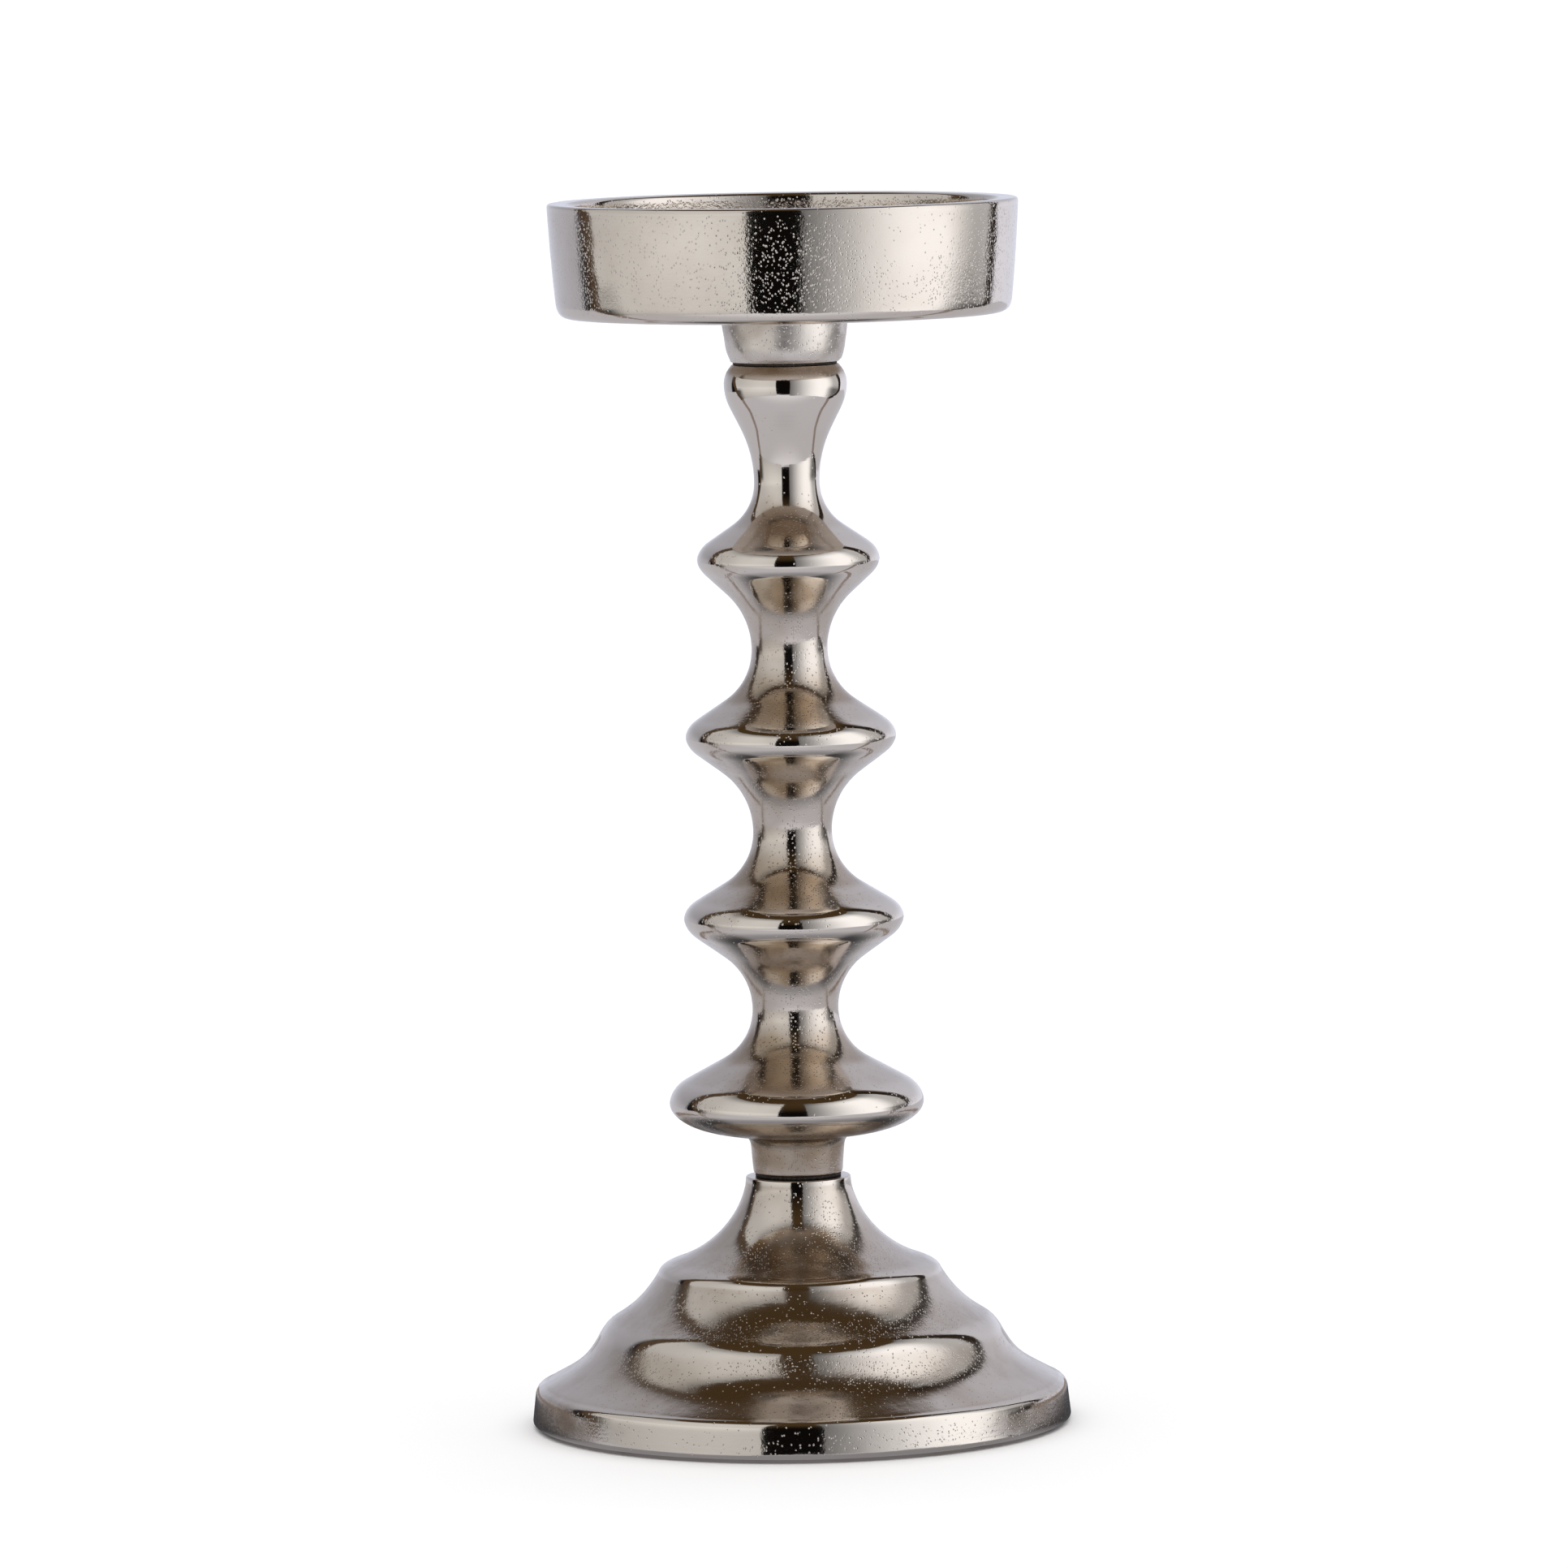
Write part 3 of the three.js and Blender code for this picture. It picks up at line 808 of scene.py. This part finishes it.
flatWashers = {
    "cupWasher": {"edge": 0.22, "sides": 160, "waveMm": 0.05, "seed": 5},
    "stemWasher": {"edge": 0.3, "sides": 160, "waveMm": 0.08, "seed": 6},
    "plateWasher": {"edge": 0.25, "sides": 120, "waveMm": 0.01, "seed": 7},
    "bore": 4.5,
    "step": 0.35,
    "waveCellMm": 2.4,
}


def makeFlatWasher(name, node, body, material, style):
    # a rounded section spun round the axis, and a little wavy
    low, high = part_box(node)
    own, cell = style[name], style["waveCellMm"]
    outline = roundedSection(style["bore"], high.x / mm, low.z / mm, high.z / mm, own["edge"], 7)
    outline = np.concatenate([outline, outline[:1]])
    spun = spin([(outline, style["step"], 1)], own["sides"], closed=True)
    points, faces = castSurface(spun, lambda p: castNoise(p, cell, own["seed"]) * own["waveMm"])[:2]
    addPiece(name, points, faces, material, body, [node])


makeFlatWasher("cupWasher", "cup_washer", "joint_washer", rubber, flatWashers)
makeFlatWasher("stemWasher", "stem_washer", "holder", rubber, flatWashers)
makeFlatWasher("plateWasher", "plate_washer", "holder", zinc, flatWashers)


springWasher = {
    "inner": 4.3,
    "edge": 0.2,
    "slit": 0.28,  # half its opening, in radians
    "slant": 0.12,  # radians per millimetre of height
    "slantFade": 8,  # the power with which the slant fades away from the slit
    "steps": 110,
    "sharp": 40,  # degrees
}


def makeSpringWasher(style):
    # The section is a small rounded rectangle, carried round the axis from one side of the slit to the
    # other. The slit is slanted: the section's turn grows by slant for each millimetre of height.
    low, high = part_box("spring_washer")
    bottom, top, outer = low.z / mm, high.z / mm, high.y / mm
    section = roundedSection(style["inner"], outer, bottom, top, style["edge"], 5)
    along = np.linspace(style["slit"], 2 * math.pi - style["slit"], style["steps"])
    a, r = np.meshgrid(along, section[:, 0], indexing="ij")
    z = np.broadcast_to(section[:, 1], a.shape)
    nearSlit = np.abs(a - math.pi) / math.pi
    a = a + style["slant"] * (z - (bottom + top) / 2) * nearSlit ** style["slantFade"]
    points = np.stack([r * np.cos(a), r * np.sin(a), z], -1).reshape(-1, 3)
    steps, count = a.shape
    i, j = np.meshgrid(np.arange(steps - 1), np.arange(count), indexing="ij")
    on = (j + 1) % count
    cells = [i * count + j, (i + 1) * count + j, (i + 1) * count + on, i * count + on]
    faces = np.stack(cells, -1).reshape(-1, 4).tolist()
    faces.append(list(range(count)))
    faces.append(list(range(steps * count - 1, (steps - 1) * count - 1, -1)))
    piece = addPiece("springWasher", points, faces, zinc, "holder", ["spring_washer"])
    piece.data.set_sharp_from_angle(angle=math.radians(style["sharp"]))


makeSpringWasher(springWasher)


nut = {
    "hole": 4.3,
    "lead": 0.5,
    "flats": 13.0,
    "crown": 6.3,  # radius of both faces, where the corners are cut back most
    "crownSlope": 0.55,
    "crownDepth": 0.75,  # how far from each face the rings lie close together
    "sides": 144,
    "sharp": 28,  # degrees
}


def makeNut(style):
    # The outside is a hexagon, r = half the flats / cos(a mod 60 degrees - 30 degrees), that a cone cuts
    # back at both faces: r <= crown + height from the face / crownSlope.
    low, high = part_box("hex_nut")
    bottom, top = low.z / mm, high.z / mm
    turn = np.arange(style["sides"]) * 2 * math.pi / style["sides"]
    hexagon = style["flats"] / 2 / np.cos(turn % (math.pi / 3) - math.pi / 6)
    rise = np.linspace(0, 1, 12) * style["crownDepth"]
    heights = np.concatenate([bottom + rise, np.linspace(bottom + 1, top - 1, 5), top - rise[::-1]])
    fromFace = np.minimum(heights - bottom, top - heights)
    wall = np.minimum(hexagon[None, :], style["crown"] + fromFace[:, None] / style["crownSlope"])
    hole, lead = style["hole"], style["lead"]
    flat = np.ones_like(turn)[None, :]
    radii = np.concatenate([flat * (hole + lead), wall, flat * (hole + lead), flat * hole, flat * hole])
    levels = np.concatenate([[bottom], heights, [top], [top - lead], [bottom + lead]])
    points = np.stack([
        radii * np.cos(turn), radii * np.sin(turn), np.broadcast_to(levels[:, None], radii.shape),
    ], -1).reshape(-1, 3)
    faces = gridFaces(len(levels), style["sides"], True)
    piece = addPiece("hexNut", points, faces, zinc, "holder", ["hex_nut"])
    piece.data.set_sharp_from_angle(angle=math.radians(style["sharp"]))


makeNut(nut)
print("washers and nut made")


pad = {"sides": 64, "edge": 0.25, "fuzzMm": 0.03, "fuzzCellMm": 0.5}


def makePad(index, style):
    # a low disc: straight up its side, with small quarter arcs at its edges, and fuzz on all of it
    node = f"felt_pad_{index}"
    low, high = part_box(node)
    middle = (low + high) / 2 / mm
    radius, bottom, top = (high.x - low.x) / 2 / mm, low.z / mm, high.z / mm
    edge, quarter = style["edge"], math.pi / 2
    side = np.concatenate([
        arc((radius - edge, bottom + edge), edge, -quarter, 0, 6),
        arc((radius - edge, top - edge), edge, 0, quarter, 6),
    ])
    spun = spin([
        (bezier((0, bottom), side[0]), 0.3, 0),
        (side, 0.15, 1),
        (bezier(side[-1], (0, top)), 0.6, 0),
    ], style["sides"])
    fuzz, cell = style["fuzzMm"], style["fuzzCellMm"]
    points, faces = castSurface(spun, lambda p: castNoise(p, cell, index) * fuzz)[:2]
    points = points + np.array([middle.x, middle.y, 0])
    addPiece(f"feltPad{index}", points, faces, felt, "holder", [node])


for index in range(1, 5):
    makePad(index, pad)
print("pads made")


studio = {
    "cardRadius": 0.6,  # metres from the stem to the softboxes
    "heights": (0.0, 0.14, 0.58, 1.1),  # metres
    # where each softbox ends, in degrees round from the camera at those heights, right positive
    "leftEnds": (-92, -101, -116, -128),
    "rightEnds": (92, 118, 116, 122),
    "leftStart": -17,
    "rightStart": 9,
    "frameWidths": (8, 7, 13, 16),  # degrees, at the same heights
    "frameInset": 0.99,
    "leftLight": "#edf0f4",
    "rightLight": "#f1f5fd",
    "leftFrame": "#57483a",
    "rightFrame": "#2e251d",
    "dimTop": (0.7, 1.15, 0.6),  # both softboxes dim between these heights, by this share
    "join": "#968c88",
    # dim strips behind the object on both sides: painted shade that the ends of the base's rim mirror
    "shadeStripHeight": 0.022,
    "shadeStripRadius": 0.2,
    "shadeStripEnds": (100, 152),  # degrees
    "tent": "#cfd3e2",  # pale cloth behind, as the metal mirrors it
    "room": "#0e0c0b",  # dark room behind the camera
    "ceiling": "#4b3b25",
    "table": "#cfd2de",
    "tableHalf": 1.2,
    "tableFront": 0.65,
    "tableBack": 1.6,
    "shadeReach": (0.08, 0.2),  # how far from the stem the object shades the table
    "joinNear": 0.15,
    "joinFar": 0.59,
    "floor": "#f7f7f7",
    "floorHalf": 30,
    "fill": 3.3,  # strength of the soft light from overhead
    "fillSpread": 120,  # degrees
}


def glowMaterial(name, colour):
    # plain light, its strength in the attribute "glow"
    material, tree = newMaterial(name)
    strength = addNode(tree, "Attribute", {"attribute_name": "glow"}).outputs["Fac"]
    emission = addNode(tree, "Emission", {"Color": colour}, {"Strength": strength})
    addNode(tree, "OutputMaterial", {}, {"Surface": emission.outputs[0]})
    return material


def addCard(name, points, glow, colour):
    # a sheet from a grid of points (rows, columns, 3), in metres, that only reflections show
    rows, columns = glow.shape
    i, j = np.meshgrid(np.arange(rows - 1), np.arange(columns - 1), indexing="ij")
    corner = i * columns + j
    faces = np.stack([corner, corner + 1, corner + columns + 1, corner + columns], -1).reshape(-1, 4)
    mesh = bpy.data.meshes.new(name)
    mesh.from_pydata(points.reshape(-1, 3).tolist(), [], faces.tolist())
    attribute = mesh.attributes.new("glow", "FLOAT", "POINT")
    attribute.data.foreach_set("value", glow.astype(np.float32).ravel())
    mesh.materials.append(glowMaterial(name + "Light", colour))
    card = bpy.data.objects.new(name, mesh)
    bpy.context.scene.collection.objects.link(card)
    card.visible_camera = False
    card.visible_diffuse = False
    card.visible_shadow = False


def bentSheet(starts, ends, radius, heights, columns=61):
    # an upright sheet bent round the object: (R sin a, -R cos a, z), with a going from start to end
    share = np.linspace(0, 1, columns)[None, :]
    a = np.asarray(starts, float)[:, None] * (1 - share) + np.asarray(ends, float)[:, None] * share
    z = np.broadcast_to(np.asarray(heights, float)[:, None], a.shape)
    turn = np.radians(a)
    return a, np.stack([radius * np.sin(turn), -radius * np.cos(turn), z], -1)


def leftGlow(a, z):
    # even, a little weaker towards both ends, a fifth stronger 0.19 m up, weaker by a fifth at the table,
    # and dark in its far low corner
    glow = 0.76 + 0.2 * ramp(a, -100, -45) - 0.06 * ramp(a, -40, -17)
    glow = glow * (1 + 0.2 * np.exp(-((z - 0.19) / 0.05) ** 2)) * (0.8 + 0.2 * ramp(z, 0.02, 0.08))
    low = (1 - ramp(z, 0.15, 0.19)) * ramp(-a, 84, 98)
    return glow * (1 - 0.9 * low)


def rightGlow(a, z):
    # its lamp stands behind it at 70 to 80 degrees, and it is dark in its far low corner
    glow = 0.16 + 1.4 * ramp(a, -2, 70) - 0.86 * ramp(a, 82, 106)
    low = 0.8 * (1 - ramp(z, 0.17, 0.21)) * ramp(a, 78, 100)
    return glow * (1 - 0.9 * low)


def makeSoftboxes(style):
    # two upright softboxes bent round the object, each with a dark frame along its far edge
    radius = style["cardRadius"]
    heights = np.linspace(style["heights"][0], style["heights"][-1], 23)
    for side, name, glowAt in ((-1, "left", leftGlow), (1, "right", rightGlow)):
        ends = np.interp(heights, style["heights"], style[name + "Ends"])
        wide = np.interp(heights, style["heights"], style["frameWidths"])
        starts = np.full_like(ends, style[name + "Start"])
        a, points = bentSheet(starts, ends, radius, heights)
        z = points[..., 2]
        low, high, share = style["dimTop"]
        glow = glowAt(a, z) * (1 - share * ramp(z, low, high))
        addCard(name + "Softbox", points, glow, linear(style[name + "Light"]))
        a, points = bentSheet(ends, ends + side * wide, radius * style["frameInset"], heights, 3)
        addCard(name + "Frame", points, np.ones_like(a), linear(style[name + "Frame"]))


makeSoftboxes(studio)


def makeShadeStrips(style):
    # low dim grey strips standing on the table, behind the object on both sides, that only reflections show:
    # painted shade for the ends of the base's rim to mirror
    heights = np.array([0.0, style["shadeStripHeight"]])
    start, end = style["shadeStripEnds"]
    for side, name in ((-1, "leftShadeStrip"), (1, "rightShadeStrip")):
        a, points = bentSheet([side * start] * 2, [side * end] * 2, style["shadeStripRadius"], heights)
        addCard(name, points, np.ones_like(a), linear(style["join"]))


makeShadeStrips(studio)


def makeTable(style):
    # the table as the metal mirrors it: paler towards its front edge, in the object's own shade close by,
    # most of all at its sides and behind it, and darker where its cloth ends at both sides
    half, below = style["tableHalf"], 0.0005
    y = np.linspace(-style["tableFront"], style["tableBack"], 151)
    x = np.linspace(-half, half, 161)
    y, x = np.meshgrid(y, x, indexing="ij")
    points = np.stack([x, y, np.full_like(x, -below)], -1)
    close = 1 - ramp(np.hypot(x, y), *style["shadeReach"])
    aside = ramp(np.abs(np.degrees(np.arctan2(x, -y))), 60, 90)
    glow = (1 + 0.45 * ramp(-y, 0.2, 0.6)) * (1 - close * (0.5 + 0.4 * aside))
    addCard("table", points, glow, linear(style["table"]))
    for side, name in ((-1, "leftJoin"), (1, "rightJoin")):
        near, far = style["joinNear"], style["joinFar"]
        x = np.array([[near, near], [far, far]]) * side
        y = np.array([[-0.002, 0.006], [0.02, 0.1]])
        points = np.stack([x, y, np.full_like(x, below)], -1)
        addCard(name, points, np.ones((2, 2)), linear(style["join"]))


makeTable(studio)


def makeFloor(style):
    # a wide pale sheet that takes the object's soft shadow, and that no reflection shows
    mesh = bpy.data.meshes.new("paleFloor")
    size = style["floorHalf"]
    corners = [(-size, -size, 0), (size, -size, 0), (size, size, 0), (-size, size, 0)]
    mesh.from_pydata(corners, [], [[0, 1, 2, 3]])
    material, tree = newMaterial("paleFloorPaint")
    shader = addNode(tree, "BsdfPrincipled", {"Base Color": linear(style["floor"]), "Roughness": 0.9})
    addNode(tree, "OutputMaterial", {}, {"Surface": shader.outputs[0]})
    mesh.materials.append(material)
    floor = bpy.data.objects.new("paleFloor", mesh)
    bpy.context.scene.collection.objects.link(floor)
    floor.visible_glossy = False


makeFloor(studio)


def makeWorld(style):
    # What the metal mirrors besides the softboxes: pale cloth in every direction (x, y, z) whose y is over
    # about 0.5, brighter on the right, and elsewhere the dark room, which lightens to a brown ceiling
    # overhead.
    world = bpy.data.worlds.new("studio")
    world.use_nodes = True
    tree = world.node_tree
    tree.nodes.clear()
    direction = addNode(tree, "TexCoord").outputs["Generated"]
    parts = addNode(tree, "SeparateXYZ", {}, {0: direction}).outputs
    overhead = addNode(tree, "MapRange", {"interpolation_type": "SMOOTHSTEP", 1: 0.3, 2: 0.9}, {0: parts[2]})
    dark = addNode(tree, "Mix", {
        "data_type": "RGBA", 6: linear(style["room"]), 7: linear(style["ceiling"]),
    }, {0: overhead.outputs[0]})
    behind = addNode(tree, "MapRange", {1: 0.48, 2: 0.55}, {0: parts[1]}).outputs[0]
    sideLight = addNode(tree, "MapRange", {1: -0.8, 2: 0.8, 3: 0.64, 4: 1.2}, {0: parts[0]}).outputs[0]
    # the cloth is brightest where it meets the table
    lowLight = addNode(tree, "MapRange", {
        "interpolation_type": "SMOOTHSTEP", 1: -0.02, 2: 0.3, 3: 1.3, 4: 0.98,
    }, {0: parts[2]}).outputs[0]
    light = addNode(tree, "Math", {"operation": "MULTIPLY"}, {0: sideLight, 1: lowLight}).outputs[0]
    tent = addNode(tree, "VectorMath", {"operation": "SCALE", 0: linear(style["tent"])[:3]}, {
        "Scale": light,
    })
    seen = addNode(tree, "Mix", {"data_type": "RGBA"}, {0: behind, 6: dark.outputs[2], 7: tent.outputs[0]})
    camera = addNode(tree, "LightPath").outputs["Is Camera Ray"]
    final = addNode(tree, "Mix", {"data_type": "RGBA", 7: (1, 1, 1, 1)}, {0: camera, 6: seen.outputs[2]})
    background = addNode(tree, "Background", {}, {"Color": final.outputs[2]})
    addNode(tree, "OutputWorld", {}, {"Surface": background.outputs[0]})
    bpy.context.scene.world = world


makeWorld(studio)


def makeFill(style):
    # very soft light from straight overhead, for the floor, felt and rubber
    data = bpy.data.lights.new("overheadFill", "SUN")
    data.energy = style["fill"]
    data.angle = math.radians(style["fillSpread"])
    fill = bpy.data.objects.new("overheadFill", data)
    fill.visible_glossy = False
    bpy.context.scene.collection.objects.link(fill)


makeFill(studio)
print("studio made")


shot = {
    "distance": 2.4842,
    "height": 0.3898,
    "aside": -0.0019,
    "pitch": 5.35,  # degrees down
    "roll": -0.95,
    "lens": 234.8,
    "sensor": 36.0,
    "farEnd": 100,  # metres, past everything it should see
}


def placeCamera(style):
    # in front of the object, pitched down, then rolled about its own axis of view
    data = bpy.data.cameras.new("camera")
    data.lens = style["lens"]
    data.sensor_width = style["sensor"]
    data.clip_end = style["farEnd"]
    camera = bpy.data.objects.new("camera", data)
    bpy.context.scene.collection.objects.link(camera)
    camera.location = (style["aside"], -style["distance"], style["height"])
    camera.rotation_mode = "XYZ"
    level = Euler([math.radians(90 - style["pitch"]), 0, 0]).to_matrix()
    rolled = level @ Matrix.Rotation(math.radians(style["roll"]), 3, "Z")
    camera.rotation_euler = rolled.to_euler()
    bpy.context.scene.camera = camera
    bpy.context.scene.view_settings.view_transform = "Standard"


placeCamera(shot)
print("camera placed")
